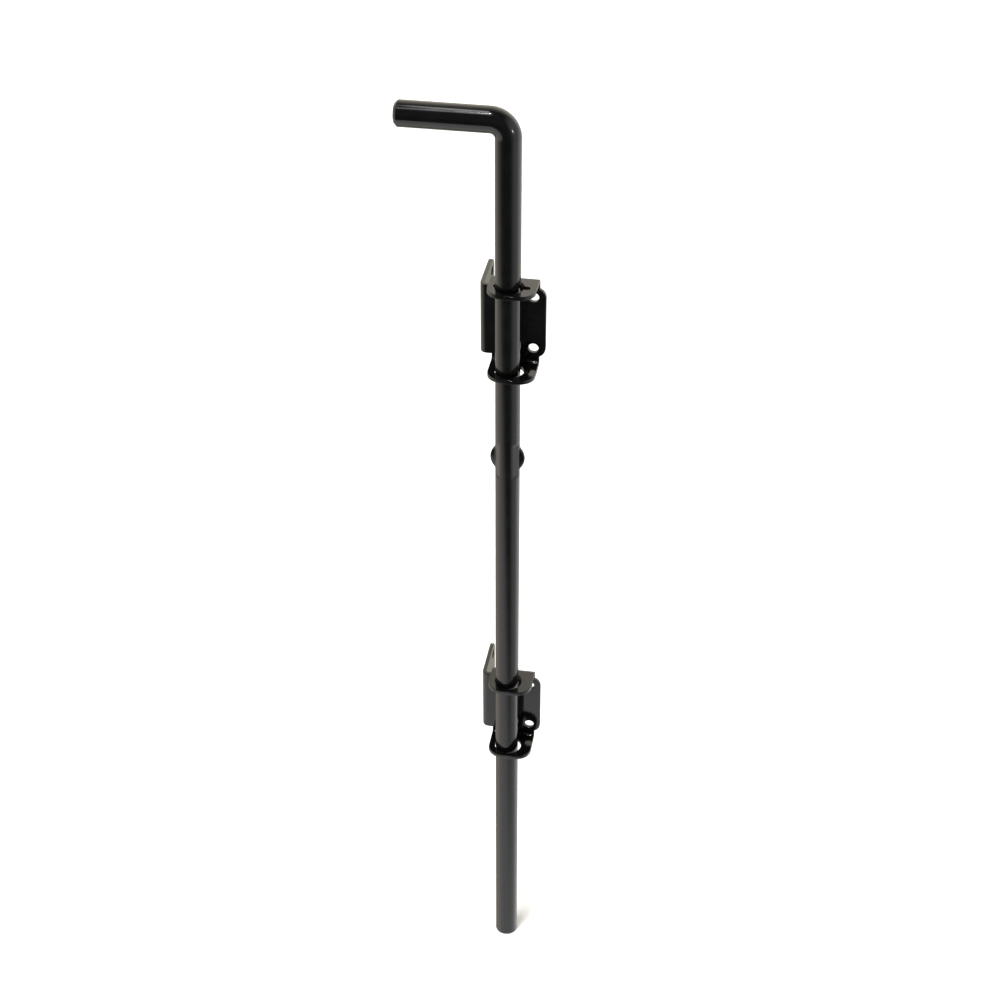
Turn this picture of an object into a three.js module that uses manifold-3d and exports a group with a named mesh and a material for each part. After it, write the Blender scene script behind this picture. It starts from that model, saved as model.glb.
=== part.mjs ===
// Cane bolt (drop rod) for a gate. A round bar, bent over into a handle at its top, slides and
// turns in two brackets, each folded from one plate. Ears squeezed out of the bar below
// the upper bracket keep it from being pulled out. Units are millimetres and +Z is up. The origin
// is on the gate face of the upper bracket's front wing, level with the wing's middle and straight
// behind the bar. +Y points into the gate, and the handle points to -X.
import * as THREE from "three";
import { mergeVertices } from "three/addons/utils/BufferGeometryUtils.js";
import Module from "manifold-3d";

const wasm = await Module();
wasm.setup();

// ---- driving dimensions ----
const BAR = {
  radius: 7.35,
  axisY: -14.55, // the axis stands this far in front of the gate
  tipZ: -484.8,
  handleZ: 128.4, // axis of the handle
  handleEndX: -61.8,
  bendRadius: 9.8, // of the centre line, under the handle
  tipChamfer: 1,
  handleChamfer: 1.8,
  tipLength: 12, // the bottom stretch, which is a node of its own
};
const EARS = {
  z: -85.2,
  radius: 10.3,
  thickness: 3.2,
  // the press leaves four narrow flats on the bar, two beside each ear
  flatAngle: THREE.MathUtils.degToRad(37), // from the ear round to the middle of a flat
  flatDistance: 6.8, // from the bar's axis
  flatLength: 24,
};
const SHEET = 2.55; // thickness of the brackets' plate
const FOLD_RADIUS = 1.5; // inside every fold
const WING = {
  left: -18.6, // outer face of the side wing
  right: 20, // free edge of the front wing
  back: 33.4, // free edge of the side wing
  halfHeight: 22.4,
  corner: 6,
};
const TAB = {
  left: -11.6,
  right: 16.3,
  front: -25.9,
  corner: 9,
  bow: THREE.MathUtils.degToRad(12), // slope of the bowed front edge where it meets a corner
  top: 28.8, // upper face of the upper tab
  bottom: -28.1, // lower face of the lower tab
};
const EYE = {
  x: 0.8, // the eye sits a little to the right of the bar
  radius: 8.5,
};
// The slot across the upper bracket's eyes that lets the ears through.
const SLOT = { left: -8.5, right: 12.7, width: 3.6 };
const SCREW = { radius: 3, frontX: 12.9, frontZ: 16.6, sideY: 26, sideZ: 15.8 };
const LOWER_BRACKET_Z = -286.6;
const GAP = 0.3; // between nodes that touch

const SIDES = 48; // of the bar
const EYE_SIDES = 40;
const SCREW_SIDES = 24;
const BEND_STEPS = 12; // in a quarter turn of the bar
const ARC_STEPS = 6; // in each rounded corner and fold
const FAR = 100; // cutters reach past everything they cut

const gloss = new THREE.MeshStandardMaterial({ color: 0x141414, roughness: 0.25 });

// ---- helpers ----
function solid(geometry) {
  const bare = geometry.index ? geometry.toNonIndexed() : geometry.clone();
  bare.deleteAttribute("normal");
  bare.deleteAttribute("uv");
  const merged = mergeVertices(bare, 1e-4);
  const vertProperties = merged.attributes.position.array;
  const triVerts = new Uint32Array(merged.index.array);
  return new wasm.Manifold(new wasm.Mesh({ numProp: 3, vertProperties, triVerts }));
}

function namedMesh(name, body) {
  const { vertProperties, triVerts } = body.getMesh();
  const geometry = new THREE.BufferGeometry();
  geometry.setAttribute("position", new THREE.BufferAttribute(vertProperties, 3));
  geometry.setIndex(new THREE.BufferAttribute(triVerts, 1));
  geometry.computeVertexNormals();
  const mesh = new THREE.Mesh(geometry, gloss);
  mesh.name = name;
  return mesh;
}

// A shape drawn in (x, y), extruded along z from low to high.
function slab(shape, low, high) {
  const settings = { depth: high - low, bevelEnabled: false, curveSegments: ARC_STEPS };
  return new THREE.ExtrudeGeometry(shape, settings).translate(0, 0, low);
}

// The same, with the shape drawn in (x, z) and extruded along y.
function slabAlongY(shape, low, high) {
  return slab(shape, -high, -low).rotateX(Math.PI / 2);
}

// The same, with the shape drawn in (y, z) and extruded along x.
function slabAlongX(shape, low, high) {
  return slab(shape, low, high).rotateX(Math.PI / 2).rotateZ(Math.PI / 2);
}

// A strip from start to end along x, whose corners at end are rounded.
function roundedStrip(start, end, halfWidth, corner) {
  const shape = new THREE.Shape();
  shape.moveTo(start, halfWidth);
  shape.lineTo(start, -halfWidth);
  shape.absarc(end - corner, -halfWidth + corner, corner, -Math.PI / 2, 0, false);
  shape.absarc(end - corner, halfWidth - corner, corner, 0, Math.PI / 2, false);
  return shape;
}

// ---- the bracket ----
// Plan of the two wings and the fold between them.
function wingProfile() {
  const outer = FOLD_RADIUS + SHEET;
  const centreX = WING.left + outer;
  const centreY = FOLD_RADIUS;
  const shape = new THREE.Shape();
  shape.moveTo(WING.right, -SHEET);
  shape.lineTo(WING.right, 0);
  shape.absarc(centreX, centreY, FOLD_RADIUS, -Math.PI / 2, -Math.PI, true);
  shape.lineTo(WING.left + SHEET, WING.back);
  shape.lineTo(WING.left, WING.back);
  shape.absarc(centreX, centreY, outer, Math.PI, 1.5 * Math.PI, false);
  return shape;
}

// Side view of the two tabs, drawn in (y, z), and the web that joins them.
function tabProfile() {
  const outer = FOLD_RADIUS + SHEET;
  const upperZ = TAB.top - outer;
  const lowerZ = TAB.bottom + outer;
  const shape = new THREE.Shape();
  shape.moveTo(TAB.front, TAB.top);
  shape.lineTo(TAB.front, TAB.top - SHEET);
  shape.absarc(-outer, upperZ, FOLD_RADIUS, Math.PI / 2, 0, true);
  shape.absarc(-outer, lowerZ, FOLD_RADIUS, 0, -Math.PI / 2, true);
  shape.lineTo(TAB.front, TAB.bottom + SHEET);
  shape.lineTo(TAB.front, TAB.bottom);
  shape.absarc(-outer, lowerZ, outer, -Math.PI / 2, 0, false);
  shape.absarc(-outer, upperZ, outer, 0, Math.PI / 2, false);
  return shape;
}

// Plan of a tab: straight sides, round front corners and a slightly bowed front edge.
function tabPlan() {
  const { left, right, front, corner, bow } = TAB;
  const middle = (left + right) / 2;
  const halfFront = middle - left - corner + corner * Math.sin(bow);
  const cornerY = front + (halfFront * Math.tan(bow)) / 2 + corner * Math.cos(bow);
  const endY = cornerY - corner * Math.cos(bow);
  const shape = new THREE.Shape();
  shape.moveTo(right, FAR);
  shape.lineTo(left, FAR);
  shape.absarc(left + corner, cornerY, corner, Math.PI, 1.5 * Math.PI - bow, false);
  shape.quadraticCurveTo(middle, endY - halfFront * Math.tan(bow), middle + halfFront, endY);
  shape.absarc(right - corner, cornerY, corner, 1.5 * Math.PI + bow, 2 * Math.PI, false);
  return shape;
}

// The upright cutter for the eyes of both tabs, and for the slot across them where there is one.
function eyeCutter(slotted) {
  const round = new THREE.CylinderGeometry(EYE.radius, EYE.radius, FAR, EYE_SIDES);
  const eye = solid(round.rotateX(Math.PI / 2).translate(EYE.x, BAR.axisY, 0));
  if (!slotted) return eye;
  const end = SLOT.width / 2;
  const shape = new THREE.Shape();
  shape.moveTo(SLOT.left + end, -end);
  shape.lineTo(SLOT.right - end, -end);
  shape.absarc(SLOT.right - end, 0, end, -Math.PI / 2, Math.PI / 2, false);
  shape.absarc(SLOT.left + end, 0, end, Math.PI / 2, 1.5 * Math.PI, false);
  return eye.add(solid(slab(shape, -FAR / 2, FAR / 2).translate(0, BAR.axisY, 0)));
}

function screwCutters() {
  const cutters = [];
  for (const sign of [1, -1]) {
    const front = new THREE.CylinderGeometry(SCREW.radius, SCREW.radius, 4 * SHEET, SCREW_SIDES);
    cutters.push(solid(front.translate(SCREW.frontX, 0, sign * SCREW.frontZ)));
    const side = new THREE.CylinderGeometry(SCREW.radius, SCREW.radius, 4 * SHEET, SCREW_SIDES);
    side.rotateZ(Math.PI / 2).translate(WING.left, SCREW.sideY, sign * SCREW.sideZ);
    cutters.push(solid(side));
  }
  return cutters;
}

function bracket(slotted) {
  const { left, right, back, halfHeight, corner } = WING;
  const frontOutline = slabAlongY(roundedStrip(-FAR, right, halfHeight, corner), -FAR, FAR);
  const sideOutline = slabAlongX(roundedStrip(-FAR, back, halfHeight, corner), -FAR, FAR);
  const wings = solid(slab(wingProfile(), -halfHeight, halfHeight))
    .intersect(solid(frontOutline))
    .intersect(solid(sideOutline));
  const tabs = solid(slabAlongX(tabProfile(), TAB.left, TAB.right))
    .intersect(solid(slab(tabPlan(), -FAR, FAR)))
    .subtract(eyeCutter(slotted));
  return screwCutters().reduce((body, cutter) => body.subtract(cutter), wings.add(tabs));
}

// ---- the bar ----
const bendStartZ = BAR.handleZ - BAR.bendRadius;
const splitZ = BAR.tipZ + BAR.tipLength;

// Turns a closed profile of [radius, height] points about the vertical axis.
function turned(profile) {
  const points = profile.map(([radius, height]) => new THREE.Vector2(radius, height));
  return new THREE.LatheGeometry(points, SIDES).rotateX(Math.PI / 2);
}

// Wraps a straight upright bar round the bend, so that what is above the bend points to -X.
function bendOver(geometry) {
  const { position } = geometry.attributes;
  for (let i = 0; i < position.count; i += 1) {
    const along = position.getZ(i) - bendStartZ;
    if (along <= 0) continue;
    const angle = Math.min(along / BAR.bendRadius, Math.PI / 2);
    const beyond = along - angle * BAR.bendRadius;
    const reach = BAR.bendRadius + position.getX(i);
    position.setX(i, reach * Math.cos(angle) - BAR.bendRadius - beyond);
    position.setZ(i, bendStartZ + reach * Math.sin(angle));
  }
  return geometry;
}

function caneRod() {
  const { radius, bendRadius, handleChamfer, handleEndX } = BAR;
  const bendLength = (bendRadius * Math.PI) / 2;
  const endZ = bendStartZ + bendLength - handleEndX - bendRadius;
  const profile = [
    [0, splitZ + GAP],
    [radius, splitZ + GAP],
  ];
  for (let i = 0; i <= BEND_STEPS; i += 1) {
    profile.push([radius, bendStartZ + (bendLength * i) / BEND_STEPS]);
  }
  profile.push([radius, endZ - handleChamfer], [radius - handleChamfer, endZ], [0, endZ]);
  let bar = solid(bendOver(turned(profile)));
  for (const ear of [0, Math.PI]) {
    for (const turn of [-EARS.flatAngle, EARS.flatAngle]) {
      const flat = new THREE.BoxGeometry(radius, 2 * radius, EARS.flatLength);
      flat.translate(EARS.flatDistance + radius / 2, 0, EARS.z).rotateZ(ear + turn);
      bar = bar.subtract(solid(flat));
    }
  }
  const disc = new THREE.CylinderGeometry(EARS.radius, EARS.radius, EARS.thickness, SIDES);
  return bar.add(solid(disc.translate(0, 0, EARS.z))).translate([0, BAR.axisY, 0]);
}

function rodTip() {
  const { radius, tipChamfer, tipZ } = BAR;
  const profile = [
    [0, tipZ],
    [radius - tipChamfer, tipZ],
    [radius, tipZ + tipChamfer],
    [radius, splitZ],
    [0, splitZ],
  ];
  return solid(turned(profile)).translate([0, BAR.axisY, 0]);
}

// ---- the assembly ----
const caneBolt = new THREE.Group();
const upper = namedMesh("upper_bracket", bracket(true));
const lower = namedMesh("lower_bracket", bracket(false));
lower.position.z = LOWER_BRACKET_Z;
caneBolt.add(upper, lower, namedMesh("cane_rod", caneRod()), namedMesh("rod_tip", rodTip()));

export default caneBolt;
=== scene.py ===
"""A gloss black cane bolt: a bent bar in two folded plate brackets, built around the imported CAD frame.
Metres, +Z up, +Y into the gate. Sizes that the frame doesn't give are named below, as in part.mjs."""

import math

import bmesh
import bpy
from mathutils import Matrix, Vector


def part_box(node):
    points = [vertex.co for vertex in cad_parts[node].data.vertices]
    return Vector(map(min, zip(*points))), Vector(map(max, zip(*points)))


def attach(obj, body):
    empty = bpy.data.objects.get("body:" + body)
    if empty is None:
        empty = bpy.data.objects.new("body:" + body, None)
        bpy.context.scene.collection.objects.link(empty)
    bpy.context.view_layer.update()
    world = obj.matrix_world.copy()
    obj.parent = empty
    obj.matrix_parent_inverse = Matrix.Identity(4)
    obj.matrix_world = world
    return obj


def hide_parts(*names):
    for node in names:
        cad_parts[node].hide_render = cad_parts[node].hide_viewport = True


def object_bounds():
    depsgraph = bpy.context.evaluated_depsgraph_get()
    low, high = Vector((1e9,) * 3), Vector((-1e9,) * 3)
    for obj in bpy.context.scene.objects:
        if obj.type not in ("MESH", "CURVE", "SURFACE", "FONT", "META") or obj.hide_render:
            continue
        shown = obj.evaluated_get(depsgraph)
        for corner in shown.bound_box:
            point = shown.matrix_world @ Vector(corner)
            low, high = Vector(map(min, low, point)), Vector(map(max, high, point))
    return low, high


MM = 0.001
QUARTER = math.pi / 2
TURN = 2 * math.pi

# ---- the bar ----
BAR_RADIUS = 7.35 * MM
BEND_RADIUS = 9.8 * MM  # of the centre line
TIP_CHAMFER = 1 * MM
HANDLE_CHAMFER = 1.8 * MM
CHAMFER_SOFT = 0.25 * MM  # how far the rounding of a chamfer's edges reaches
CHAMFER_CUT = 0.07 * MM  # how far that rounding stands inside the sharp edges
CHAMFER_SHIFT = 0.02 * MM  # the middle of the inner rounding, outward from the sharp edge
EAR_Z = -85.2 * MM
EAR_RADIUS = 10.3 * MM
EAR_THICKNESS = 3.2 * MM
EAR_SQUARENESS = 5  # the power of the ears' rounded rectangle, seen from above
EAR_BLEND = 0.9 * MM  # where an ear grows out of the bar
FLAT_ANGLE = math.radians(37)  # from an ear round to the middle of a pressed flat
FLAT_DISTANCE = 6.8 * MM  # of a flat from the bar's axis
FLAT_LENGTH = 24 * MM
FLAT_RUN_OUT = 1.2 * MM  # at each end of a flat
FLAT_BLEND = 0.25 * MM

# ---- the brackets ----
SHEET = 2.55 * MM
FOLD_RADIUS = 1.5 * MM  # inside every fold
WING_HALF_HEIGHT = 22.4 * MM
WING_CORNER = 6 * MM
TAB_LEFT = -11.6 * MM
TAB_RIGHT = 16.3 * MM
TAB_CORNER = 9 * MM
TAB_BOW = math.radians(12)  # slope of the front edge where it meets a corner
EYE_X = 0.8 * MM
EYE_RADIUS = 8.5 * MM
SLOT_LEFT = -8.5 * MM  # the slot across the upper bracket's eyes
SLOT_RIGHT = 12.7 * MM
SLOT_WIDTH = 3.6 * MM
SCREW_RADIUS = 3 * MM
SCREW_FRONT_X = 12.9 * MM
SCREW_FRONT_Z = 16.6 * MM
SCREW_SIDE_Y = 26 * MM
SCREW_SIDE_Z = 15.8 * MM
EDGE_ROUND = 0.35 * MM  # the coating rounds every cut edge
EDGE_PROFILE = 0.5  # a round one

# ---- how finely the meshes are divided ----
BAR_SIDES = 112
BAR_CROWDING = 0.36  # pulls the bar's lengthwise lines towards the ears
PLAIN_STEP = 12 * MM
EAR_STEP = 0.4 * MM
EAR_MARGIN = 1.5 * MM  # of the fine steps past the flats' ends
HANDLE_STEP = 8 * MM
BEND_STEPS = 28
END_FACE_RING = 0.4  # of the bar's radius
FOLD_STEPS = 10
TAB_STEPS = 12  # for each corner of a tab, and for its front edge
FRONT_CORNER_STEPS = 8
SIDE_CORNER_STEPS = 10
EYE_STEPS = 64
EYE_HALF_STEPS = 28  # for each half of an eye that has a slot
SLOT_LEFT_STEPS = 8
SLOT_RIGHT_STEPS = 10
SCREW_STEPS = 40
EDGE_SEGMENTS = 3
SHARP_ANGLE = math.radians(80)
CUT_TOLERANCE = 1e-7

# ---- the camera ----
LENS = 70.2
SENSOR_WIDTH = 36
CLIP_START = 0.01
CAMERA_PLACE = (0.1579, -0.9661, 0.5524)
CAMERA_DIRECTION = (-0.1383, 0.8101, -0.5698)

# ---- the studio, as the gloss reflects it ----
# A brightness of 1 is white. A band is (low, high, value below low, value above high), smooth in between.
HORIZON = (-0.12, 0.06)  # the height of a unit direction, from the floor's brightness to the sky's
SIDEWAYS = (-0.1, 0.35)  # how far back a level direction points, from the front of the floor to its back
TABLE = 1.3  # the floor near the object, in front of it
TABLE_END = (1.05, 1.5)  # where it ends: the distance for each unit of depth below the object
TABLE_SKEW = 0.3  # brings that end nearer on the right
AHEAD = (-0.14, -0.99)  # from the object to the dark part of the room, in X and Y
ROOM = (0.2, 0.95, 0.85, 0.08)  # past the table, by how nearly a direction points ahead
FLOOR_RIGHT = (0.12, 0.55, 0.52, 1.4)  # the back of the floor, by X
FLOOR_LEFT = (0.45, 0.95, 0.4, 1.2)  # the same by -X, and the brighter of the two counts
LEAST_DEPTH = 0.02  # keeps a division by depth finite at the horizon
BACK_WALL = (-0.2, 0.12, 1.5, 1.9)  # by X
WALL_START = (0.05, 0.9)  # by Y, from the dark sky in front to the back wall
SKY_DARK = 0.12
SIDE_WALLS = (0.45, 0.95, 0.0, 0.9)  # by the size of X
WARM = (-0.1, 0.4, 0.0, 1.0)  # by Y less X: the light from behind and from the left is warm
WARM_TINT = (1.03, 0.97, 0.84, 1)
WHITE = (1, 1, 1, 1)
SEEN_DIRECTLY = 1.05  # a plain white background

# ---- lights and floor ----
KEY_OFFSET = (-0.9, -1.3, 2.6)  # from the object's middle
KEY_ENERGY = 3.4
KEY_ANGLE = math.radians(40)
SOFTBOX_DISTANCE = 1.5
# name, direction from the handle, size along X, size across, radiance
SOFTBOXES = (
    ("overhead_strip", (-0.19, -0.03, 0.98), 0.40, 0.12, 6.0),
    ("front_panel", (-0.19, -0.42, 0.89), 0.40, 0.22, 2.4),
    ("front_bulb", (-0.117, -0.304, 0.946), 0.07, 0.07, 400.0),
    ("right_bulb", (0.886, -0.45, 0.105), 0.07, 0.07, 140.0),
)
FLOOR_HALF_SIZE = 12
PAPER = (0.95, 0.95, 0.95, 1)

# ---- the gloss black coating ----
PLATE_TINT = (0.0022, 0.0022, 0.0023)
PLATE_ROUGHNESS = 0.10
PLATE_GRAIN = 700.0  # scale of the orange peel
BAR_TINT = (0.0020, 0.0019, 0.0019)
BAR_ROUGHNESS = 0.12
BAR_GRAIN = 600.0
CLOUD_SCALE = 90.0  # broad unevenness in colour and gloss
CLOUD_DETAIL = 3.0
CLOUD_COLOUR = (0.35, 0.65, 0.0, 1.0)
CLOUD_GLOSS = (0.3, 0.7)
TINT_LOW = 0.75
TINT_HIGH = 1.3
ROUGHNESS_LOW = 0.85
ROUGHNESS_HIGH = 1.15
PEEL_DETAIL = 2.0
SPECK_SCALE = 2600.0
SPECK_DETAIL = 1.0
SPECK_ROUGHNESS = (0.45, 0.75, 0.0, 0.03)
SPECK_HEIGHT = 0.12  # beside the orange peel's height of 1
BUMP_STRENGTH = 0.12
BUMP_DEPTH = 0.05 * MM

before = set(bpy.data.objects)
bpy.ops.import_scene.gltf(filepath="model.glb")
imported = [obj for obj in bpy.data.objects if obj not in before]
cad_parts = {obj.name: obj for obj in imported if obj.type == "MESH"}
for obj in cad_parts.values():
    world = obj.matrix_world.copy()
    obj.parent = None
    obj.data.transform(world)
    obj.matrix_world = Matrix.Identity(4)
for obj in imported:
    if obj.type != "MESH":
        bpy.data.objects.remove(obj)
cad_low, cad_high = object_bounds()
rod_low, rod_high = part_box("cane_rod")
tip_low, tip_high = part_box("rod_tip")
upper_low, upper_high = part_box("upper_bracket")
lower_low, lower_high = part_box("lower_bracket")

BAR_Y = (tip_low.y + tip_high.y) / 2
HANDLE_Z = rod_high.z - BAR_RADIUS
BEND_START_Z = HANDLE_Z - BEND_RADIUS
BEND_LENGTH = BEND_RADIUS * QUARTER


# ---- camera, light and stage ----
def make_camera():
    data = bpy.data.cameras.new("camera")
    data.lens = LENS
    data.sensor_width = SENSOR_WIDTH
    data.clip_start = CLIP_START
    camera = bpy.data.objects.new("camera", data)
    camera.location = CAMERA_PLACE
    camera.rotation_euler = Vector(CAMERA_DIRECTION).to_track_quat("-Z", "Y").to_euler()
    bpy.context.scene.collection.objects.link(camera)
    bpy.context.scene.camera = camera


class Nodes:
    """A short way to write a node tree. add returns the new node, and math, ramp and blend an output."""

    def __init__(self, tree):
        self.tree = tree
        tree.nodes.clear()

    def add(self, kind, settings=None, **inputs):
        """A node. An input is given by its name, with _ for a space, or by i and its number."""
        node = self.tree.nodes.new(kind)
        for name, value in (settings or {}).items():
            setattr(node, name, value)
        for name, value in inputs.items():
            key = int(name[1:]) if name[0] == "i" and name[1:].isdigit() else name.replace("_", " ")
            if isinstance(value, bpy.types.NodeSocket):
                self.tree.links.new(value, node.inputs[key])
            else:
                node.inputs[key].default_value = value
        return node

    def math(self, operation, a, b=0.0, c=0.0):
        return self.add("ShaderNodeMath", {"operation": operation}, i0=a, i1=b, i2=c).outputs[0]

    def ramp(self, value, low, high, to_low, to_high):
        """value, carried smoothly from the range low..high to the range to_low..to_high."""
        settings = {"interpolation_type": "SMOOTHSTEP"}
        limits = {"From_Min": low, "From_Max": high, "To_Min": to_low, "To_Max": to_high}
        return self.add("ShaderNodeMapRange", settings, Value=value, **limits).outputs[0]

    def blend(self, factor, a, b):
        """A colour between the plain colours a and b."""
        node = self.add("ShaderNodeMix", {"data_type": "RGBA"}, Factor=factor)
        node.inputs["A"].default_value = a
        node.inputs["B"].default_value = b
        return node.outputs["Result"]

    def finish(self, kind, shader):
        """Adds the output node of this kind and joins the shader to its surface."""
        self.tree.links.new(shader.outputs[0], self.add(kind).inputs["Surface"])


def floor_glow(n, x, y, z):
    """What the gloss sees below the horizon: a pale table that ends in front, before a dark room."""
    level = n.math("SQRT", n.math("ADD", n.math("MULTIPLY", x, x), n.math("MULTIPLY", y, y)))
    depth = n.math("MAXIMUM", n.math("MULTIPLY", z, -1.0), LEAST_DEPTH)
    ahead_x, ahead_y = AHEAD
    ahead = n.math("ADD", n.math("MULTIPLY", y, ahead_y), n.math("MULTIPLY", x, ahead_x))
    room = n.ramp(n.math("DIVIDE", ahead, level), *ROOM)
    reach = n.math("DIVIDE", n.math("MULTIPLY_ADD", x, TABLE_SKEW, level), depth)
    front = n.ramp(reach, *TABLE_END, TABLE, room)
    right = n.ramp(x, *FLOOR_RIGHT)
    left = n.ramp(n.math("MULTIPLY", x, -1.0), *FLOOR_LEFT)
    behind = n.math("MAXIMUM", right, left)
    return n.ramp(n.math("DIVIDE", y, level), *SIDEWAYS, front, behind)


def sky_glow(n, x, y):
    """What the gloss sees above the horizon: a dark sky in front, pale walls at the sides and behind."""
    wall = n.ramp(y, *WALL_START, SKY_DARK, n.ramp(x, *BACK_WALL))
    sides = n.ramp(n.math("ABSOLUTE", x), *SIDE_WALLS)
    return n.math("MAXIMUM", wall, sides)


def make_world():
    """The studio as the gloss reflects it, by direction only. Seen directly it is plain white."""
    world = bpy.data.worlds.new("studio")
    bpy.context.scene.world = world
    world.use_nodes = True
    n = Nodes(world.node_tree)
    direction = n.add("ShaderNodeTexCoord").outputs["Generated"]
    x, y, z = n.add("ShaderNodeSeparateXYZ", Vector=direction).outputs
    glow = n.ramp(z, *HORIZON, floor_glow(n, x, y, z), sky_glow(n, x, y))
    seen = n.add("ShaderNodeLightPath").outputs["Is Camera Ray"]
    strength = n.ramp(seen, 0.0, 1.0, glow, SEEN_DIRECTLY)
    warmth = n.ramp(n.math("SUBTRACT", y, x), *WARM)
    tint = n.blend(n.ramp(seen, 0.0, 1.0, warmth, 0.0), WHITE, WARM_TINT)
    n.finish("ShaderNodeOutputWorld", n.add("ShaderNodeBackground", Color=tint, Strength=strength))


def add_light(name, kind, place, target, energy):
    light = bpy.data.objects.new(name, bpy.data.lights.new(name, kind))
    light.data.energy = energy
    light.location = place
    light.rotation_euler = (target - place).to_track_quat("-Z", "Y").to_euler()
    bpy.context.scene.collection.objects.link(light)
    return light


def softbox(name, direction, width, depth, radiance):
    """A rectangular light that faces the handle. Its energy follows from how bright it looks."""
    handle = Vector((0, BAR_Y, HANDLE_Z))
    place = handle + Vector(direction).normalized() * SOFTBOX_DISTANCE
    light = add_light(name, "AREA", place, handle, radiance * math.pi * width * depth)
    light.data.shape = "RECTANGLE"
    light.data.size = width
    light.data.size_y = depth


def make_lights():
    centre = (cad_low + cad_high) / 2
    key = add_light("key", "SUN", centre + Vector(KEY_OFFSET), centre, KEY_ENERGY)
    key.data.angle = KEY_ANGLE
    key.visible_glossy = False
    for settings in SOFTBOXES:
        softbox(*settings)


def make_floor():
    """White paper at the bar's lower end. The gloss doesn't reflect it: it reflects the world instead."""
    mesh = bpy.data.meshes.new("floor")
    z = cad_low.z
    size = FLOOR_HALF_SIZE
    corners = [(-size, -size, z), (size, -size, z), (size, size, z), (-size, size, z)]
    mesh.from_pydata(corners, [], [(0, 1, 2, 3)])
    floor = bpy.data.objects.new("floor", mesh)
    material = bpy.data.materials.new("floor_paper")
    material.use_nodes = True
    n = Nodes(material.node_tree)
    n.finish("ShaderNodeOutputMaterial", n.add("ShaderNodeBsdfDiffuse", Color=PAPER))
    mesh.materials.append(material)
    floor.visible_glossy = False
    bpy.context.scene.collection.objects.link(floor)


# ---- materials ----
def gloss_black(name, tint, roughness, grain):
    """Gloss powder coat: nearly black, with a faint orange peel and slightly uneven colour and gloss."""
    material = bpy.data.materials.new(name)
    material.use_nodes = True
    n = Nodes(material.node_tree)
    place = n.add("ShaderNodeTexCoord").outputs["Object"]

    def noise(scale, detail):
        return n.add("ShaderNodeTexNoise", Vector=place, Scale=scale, Detail=detail).outputs["Fac"]

    cloud = noise(CLOUD_SCALE, CLOUD_DETAIL)
    peel = noise(grain, PEEL_DETAIL)
    speck = noise(SPECK_SCALE, SPECK_DETAIL)
    darker = (*[c * TINT_LOW for c in tint], 1)
    lighter = (*[c * TINT_HIGH for c in tint], 1)
    colour = n.blend(n.ramp(cloud, *CLOUD_COLOUR), darker, lighter)
    uneven = n.ramp(cloud, *CLOUD_GLOSS, roughness * ROUGHNESS_LOW, roughness * ROUGHNESS_HIGH)
    rough = n.math("ADD", uneven, n.ramp(speck, *SPECK_ROUGHNESS))
    height = n.math("MULTIPLY_ADD", speck, SPECK_HEIGHT, peel)
    bump = n.add("ShaderNodeBump", Height=height, Strength=BUMP_STRENGTH, Distance=BUMP_DEPTH)
    surface = {"Base_Color": colour, "Roughness": rough, "Normal": bump.outputs[0]}
    n.finish("ShaderNodeOutputMaterial", n.add("ShaderNodeBsdfPrincipled", **surface))
    return material


# ---- mesh helpers ----
def finish_piece(name, bm, material, body, nodes):
    bmesh.ops.recalc_face_normals(bm, faces=bm.faces)
    mesh = bpy.data.meshes.new(name)
    bm.to_mesh(mesh)
    bm.free()
    mesh.materials.append(material)
    mesh.shade_smooth()
    mesh.set_sharp_from_angle(angle=SHARP_ANGLE)
    piece = bpy.data.objects.new(name, mesh)
    bpy.context.scene.collection.objects.link(piece)
    weights = piece.modifiers.new("face_weighted_normals", "WEIGHTED_NORMAL")
    weights.keep_sharp = True
    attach(piece, body)
    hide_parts(*nodes)


def arc(x, y, radius, start, end, steps):
    """Points along an arc, both ends included. Angles are in radians."""
    angles = [start + (end - start) * i / steps for i in range(steps + 1)]
    return [(x + radius * math.cos(a), y + radius * math.sin(a)) for a in angles]


def circle(x, y, radius, steps):
    return arc(x, y, radius, 0, TURN, steps)[:-1]


# ---- the bracket: a flat plate, cut out and then folded ----
MIDDLE_RADIUS = FOLD_RADIUS + SHEET / 2  # of the plate's mid-plane in a fold
FOLD_LENGTH = MIDDLE_RADIUS * QUARTER
OUTER_RADIUS = FOLD_RADIUS + SHEET


class Fold:
    """A fold across the flat plate: where it starts and ends along the plate, on one side of the origin."""

    def __init__(self, start, sign):
        self.start = start
        self.end = start + sign * FOLD_LENGTH
        self.sign = sign

    def split(self, t):
        """(angle turned, length beyond the fold) at the coordinate t of the flat plate."""
        past = (t - self.start) * self.sign
        angle = min(max(past / MIDDLE_RADIUS, 0.0), QUARTER)
        return angle, max(past - FOLD_LENGTH, 0.0)


SIDE = Fold(upper_low.x + OUTER_RADIUS, -1)
TOP = Fold(upper_high.z - OUTER_RADIUS, 1)
BOTTOM = Fold(upper_low.z + OUTER_RADIUS, -1)


def folded(u, v, lift):
    """Where the point (u, v) of the flat plate goes. lift is its height above the mid-plane, to the front."""
    side, side_beyond = SIDE.split(u)
    if side > 0:
        reach = MIDDLE_RADIUS + lift
        x = SIDE.start - reach * math.sin(side)
        y = FOLD_RADIUS - reach * math.cos(side) + side_beyond
        return Vector((x, y, v))
    fold = TOP if v > 0 else BOTTOM
    angle, beyond = fold.split(v)
    reach = MIDDLE_RADIUS - lift
    y = -OUTER_RADIUS + reach * math.cos(angle) - beyond
    z = min(max(v, BOTTOM.start), TOP.start) + fold.sign * reach * math.sin(angle)
    return Vector((u, y, z))


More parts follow.
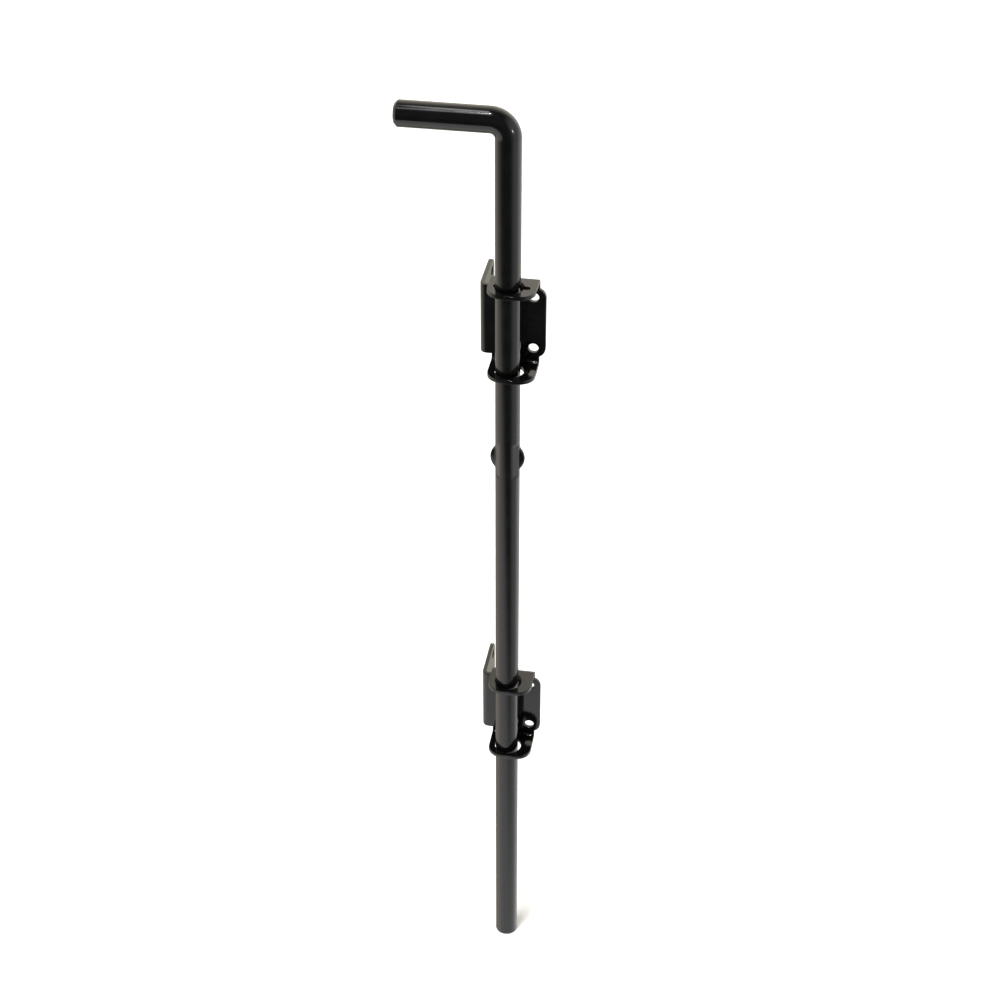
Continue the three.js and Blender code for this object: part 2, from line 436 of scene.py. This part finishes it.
def tab_loop(fold):
    """The edge of a tab in the flat plate, from the root of its left corner to the root of its right one."""
    front = fold.end + fold.sign * (-upper_low.y - OUTER_RADIUS)
    middle = (TAB_LEFT + TAB_RIGHT) / 2
    half_front = middle - TAB_LEFT - TAB_CORNER + TAB_CORNER * math.sin(TAB_BOW)
    bow = half_front * math.tan(TAB_BOW)
    centre = -bow / 2 - TAB_CORNER * math.cos(TAB_BOW)  # of both corners, from the front edge
    points = arc(TAB_LEFT + TAB_CORNER, centre, TAB_CORNER, math.pi, QUARTER + TAB_BOW, TAB_STEPS)
    for i in range(1, TAB_STEPS):
        t = i / TAB_STEPS
        points.append((middle + half_front * (2 * t - 1), -bow / 2 + 2 * t * (1 - t) * bow))
    points += arc(TAB_RIGHT - TAB_CORNER, centre, TAB_CORNER, QUARTER - TAB_BOW, 0, TAB_STEPS)
    return [(u, front + fold.sign * v) for u, v in points]


def plate_outline():
    """The flat plate's outer edge, clockwise from the upper tab's left root."""
    h, c = WING_HALF_HEIGHT, WING_CORNER
    right = upper_high.x
    side_end = SIDE.end - (upper_high.y - FOLD_RADIUS)
    root_angle = math.acos((TAB_RIGHT - right + c) / c)
    outline = [(TAB_LEFT, h), *tab_loop(TOP)]
    outline += arc(right - c, h - c, c, root_angle, 0, FRONT_CORNER_STEPS)
    outline += arc(right - c, -h + c, c, 0, -root_angle, FRONT_CORNER_STEPS)
    outline += [*reversed(tab_loop(BOTTOM)), (TAB_LEFT, -h)]
    outline += arc(side_end + c, -h + c, c, -QUARTER, -math.pi, SIDE_CORNER_STEPS)
    outline += arc(side_end + c, h - c, c, math.pi, QUARTER, SIDE_CORNER_STEPS)
    return outline


def crossing(distance, radius, other):
    """The angle, seen from a circle's centre, from another circle's centre to where the two cross."""
    return math.acos((distance**2 + radius**2 - other**2) / (2 * distance * radius))


def eye_loop(fold, slotted):
    """An eye, with the slot across it where there is one, in the flat plate."""
    v = fold.end + fold.sign * (-BAR_Y - OUTER_RADIUS)
    if not slotted:
        return circle(EYE_X, v, EYE_RADIUS, EYE_STEPS)
    end = SLOT_WIDTH / 2
    right_mouth = math.asin(end / EYE_RADIUS)
    apart = EYE_X - (SLOT_LEFT + end)
    left_mouth = crossing(apart, EYE_RADIUS, end)
    turn = crossing(apart, end, EYE_RADIUS)
    points = arc(EYE_X, v, EYE_RADIUS, right_mouth, math.pi - left_mouth, EYE_HALF_STEPS)
    points += arc(SLOT_LEFT + end, v, end, turn, TURN - turn, SLOT_LEFT_STEPS)[1:-1]
    points += arc(EYE_X, v, EYE_RADIUS, math.pi + left_mouth, TURN - right_mouth, EYE_HALF_STEPS)
    return points + arc(SLOT_RIGHT - end, v, end, -QUARTER, QUARTER, SLOT_RIGHT_STEPS)


def flat_plate(slotted):
    """The flat plate as one layer of faces, cut across its folds so that it can bend there."""
    side_u = SIDE.end - (SCREW_SIDE_Y - FOLD_RADIUS)
    loops = [plate_outline(), eye_loop(TOP, slotted), eye_loop(BOTTOM, slotted)]
    for u, v in ((SCREW_FRONT_X, SCREW_FRONT_Z), (side_u, SCREW_SIDE_Z)):
        loops += [circle(u, v, SCREW_RADIUS, SCREW_STEPS), circle(u, -v, SCREW_RADIUS, SCREW_STEPS)]
    bm = bmesh.new()
    edges = []
    for loop in loops:
        verts = [bm.verts.new((u, v, 0)) for u, v in loop]
        edges += [bm.edges.new((a, b)) for a, b in zip(verts, verts[1:] + verts[:1])]
    bmesh.ops.triangle_fill(bm, use_beauty=True, use_dissolve=False, edges=edges)
    along_u = Vector((1, 0, 0))
    along_v = Vector((0, 1, 0))
    for fold, axis in ((SIDE, along_u), (TOP, along_v), (BOTTOM, along_v)):
        for i in range(FOLD_STEPS + 1):
            point = axis * (fold.start + fold.sign * FOLD_LENGTH * i / FOLD_STEPS)
            cut = {"plane_co": point, "plane_no": axis, "dist": CUT_TOLERANCE}
            bmesh.ops.bisect_plane(bm, geom=[*bm.verts, *bm.edges, *bm.faces], **cut)
    return bm


def bracket(node, offset, slotted, material):
    """The bracket that replaces a CAD node, moved up by offset from the upper bracket's place."""
    flat = flat_plate(slotted)
    bm = bmesh.new()
    shift = Vector((0, 0, offset))
    layers = []
    for lift in (SHEET / 2, -SHEET / 2):
        layers.append({v: bm.verts.new(folded(v.co.x, v.co.y, lift) + shift) for v in flat.verts})
    front, back = layers
    for face in flat.faces:
        bm.faces.new([front[v] for v in face.verts])
        bm.faces.new([back[v] for v in reversed(face.verts)])
    rim = []
    for edge in flat.edges:
        if len(edge.link_faces) != 1:
            continue
        a, b = edge.verts
        bm.faces.new((front[a], front[b], back[b], back[a]))
        rim += [bm.edges.get((front[a], front[b])), bm.edges.get((back[a], back[b]))]
    flat.free()
    bmesh.ops.recalc_face_normals(bm, faces=bm.faces)
    rounding = {"offset": EDGE_ROUND, "segments": EDGE_SEGMENTS, "profile": EDGE_PROFILE}
    bmesh.ops.bevel(bm, geom=rim, affect="EDGES", clamp_overlap=True, **rounding)
    finish_piece(f"{node}_plate", bm, material, "brackets", [node])


# ---- the bar ----
def bar_angle(i):
    """The angle of a lengthwise line of the mesh, from +X. The lines crowd towards the two ears."""
    even = TURN * i / BAR_SIDES
    return even - BAR_CROWDING * math.sin(2 * even)


def smooth_max(a, b, blend):
    overlap = max(blend - abs(a - b), 0.0)
    return max(a, b) + overlap * overlap / (4 * blend)


def pressed_reach(angle):
    """The bar's radius at an angle, along the stretch where the four flats are pressed."""
    from_ear = abs(math.atan2(math.sin(angle), math.cos(angle)))
    from_ear = min(from_ear, math.pi - from_ear)
    flat = FLAT_DISTANCE / math.cos(from_ear - FLAT_ANGLE)
    return -smooth_max(-BAR_RADIUS, -flat, FLAT_BLEND)


def ear_reach(angle, height):
    """How far the ears reach at an angle and at a height above their centre."""
    across = abs(math.cos(angle)) / math.sqrt(EAR_RADIUS**2 - height**2)
    through = abs(math.sin(angle)) / (EAR_THICKNESS / 2)
    return (across**EAR_SQUARENESS + through**EAR_SQUARENESS) ** (-1 / EAR_SQUARENESS)


def bar_reach(angle, height):
    """The bar's radius at an angle and at a height above the ears' centre."""
    radius = BAR_RADIUS
    fade = min(max((FLAT_LENGTH / 2 - abs(height)) / FLAT_RUN_OUT, 0.0), 1.0)
    if fade > 0:
        radius += (pressed_reach(angle) - radius) * fade * fade * (3 - 2 * fade)
    if abs(height) < EAR_RADIUS:
        radius = smooth_max(radius, ear_reach(angle, height), EAR_BLEND)
    return radius


def ring_at(bm, along, radius=None):
    """One ring of the bar. along is the distance up its centre line from the start of the bend."""
    angle = min(max(along / BEND_RADIUS, 0.0), QUARTER)
    beyond = max(along - BEND_LENGTH, 0.0)
    centre = Vector((
        BEND_RADIUS * (math.cos(angle) - 1) - beyond,
        BAR_Y,
        BEND_START_Z + min(along, 0.0) + BEND_RADIUS * math.sin(angle),
    ))
    outward = Vector((math.cos(angle), 0, math.sin(angle)))
    back = Vector((0, 1, 0))
    verts = []
    for i in range(BAR_SIDES):
        a = bar_angle(i)
        reach = radius or bar_reach(a, centre.z - EAR_Z)
        verts.append(bm.verts.new(centre + outward * (reach * math.cos(a)) + back * (reach * math.sin(a))))
    return verts


def chamfer_rings(start, inward, size):
    """(along, radius) from the middle of a cut end up its chamfer, whose two edges are rounded."""
    inner = BAR_RADIUS - size
    rings = [
        (0, BAR_RADIUS * END_FACE_RING),
        (0, inner - CHAMFER_SOFT),
        (CHAMFER_CUT, inner + CHAMFER_SHIFT),
        (CHAMFER_SOFT, inner + CHAMFER_SOFT),
        (size - CHAMFER_SOFT, BAR_RADIUS - CHAMFER_SOFT),
        (size, BAR_RADIUS - CHAMFER_CUT),
        (size + CHAMFER_SOFT, BAR_RADIUS),
    ]
    return [(start + inward * along, radius) for along, radius in rings]


def straight(low, high, step):
    """Stations about a step apart between low and high, which are both left out."""
    count = max(1, round((high - low) / step))
    return [(low + (high - low) * i / count, None) for i in range(1, count)]


def bar(material):
    """The whole bar: rings along its centre line from the tip to the handle's end, closed at both ends."""
    start = tip_low.z - BEND_START_Z
    end = BEND_LENGTH - rod_low.x - BEND_RADIUS
    ear_along = EAR_Z - BEND_START_Z
    fine = FLAT_LENGTH / 2 + EAR_MARGIN
    stations = chamfer_rings(start, 1, TIP_CHAMFER)
    stations += straight(start + 2 * TIP_CHAMFER, ear_along - fine, PLAIN_STEP)
    stations += straight(ear_along - fine, ear_along + fine, EAR_STEP)
    stations += straight(ear_along + fine, 0, PLAIN_STEP)
    stations += [(BEND_LENGTH * i / BEND_STEPS, None) for i in range(BEND_STEPS + 1)]
    stations += straight(BEND_LENGTH, end - 2 * HANDLE_CHAMFER, HANDLE_STEP)
    stations += reversed(chamfer_rings(end, -1, HANDLE_CHAMFER))

    bm = bmesh.new()
    rings = [ring_at(bm, along, radius) for along, radius in stations]
    for low, high in zip(rings, rings[1:]):
        for i in range(BAR_SIDES):
            j = (i + 1) % BAR_SIDES
            bm.faces.new((low[i], low[j], high[j], high[i]))
    for ring in (rings[0], rings[-1]):
        centre = bm.verts.new(sum((v.co for v in ring), Vector()) / BAR_SIDES)
        for i in range(BAR_SIDES):
            bm.faces.new((ring[i], ring[(i + 1) % BAR_SIDES], centre))
    finish_piece("bar", bm, material, "rod", ["cane_rod", "rod_tip"])


make_camera()
make_world()
make_lights()
make_floor()
plate_finish = gloss_black("plate_gloss_black", PLATE_TINT, PLATE_ROUGHNESS, PLATE_GRAIN)
bar_finish = gloss_black("bar_gloss_black", BAR_TINT, BAR_ROUGHNESS, BAR_GRAIN)
bracket("upper_bracket", 0.0, True, plate_finish)
bracket("lower_bracket", lower_high.z - upper_high.z, False, plate_finish)
bar(bar_finish)
bpy.context.scene.view_settings.view_transform = "Standard"
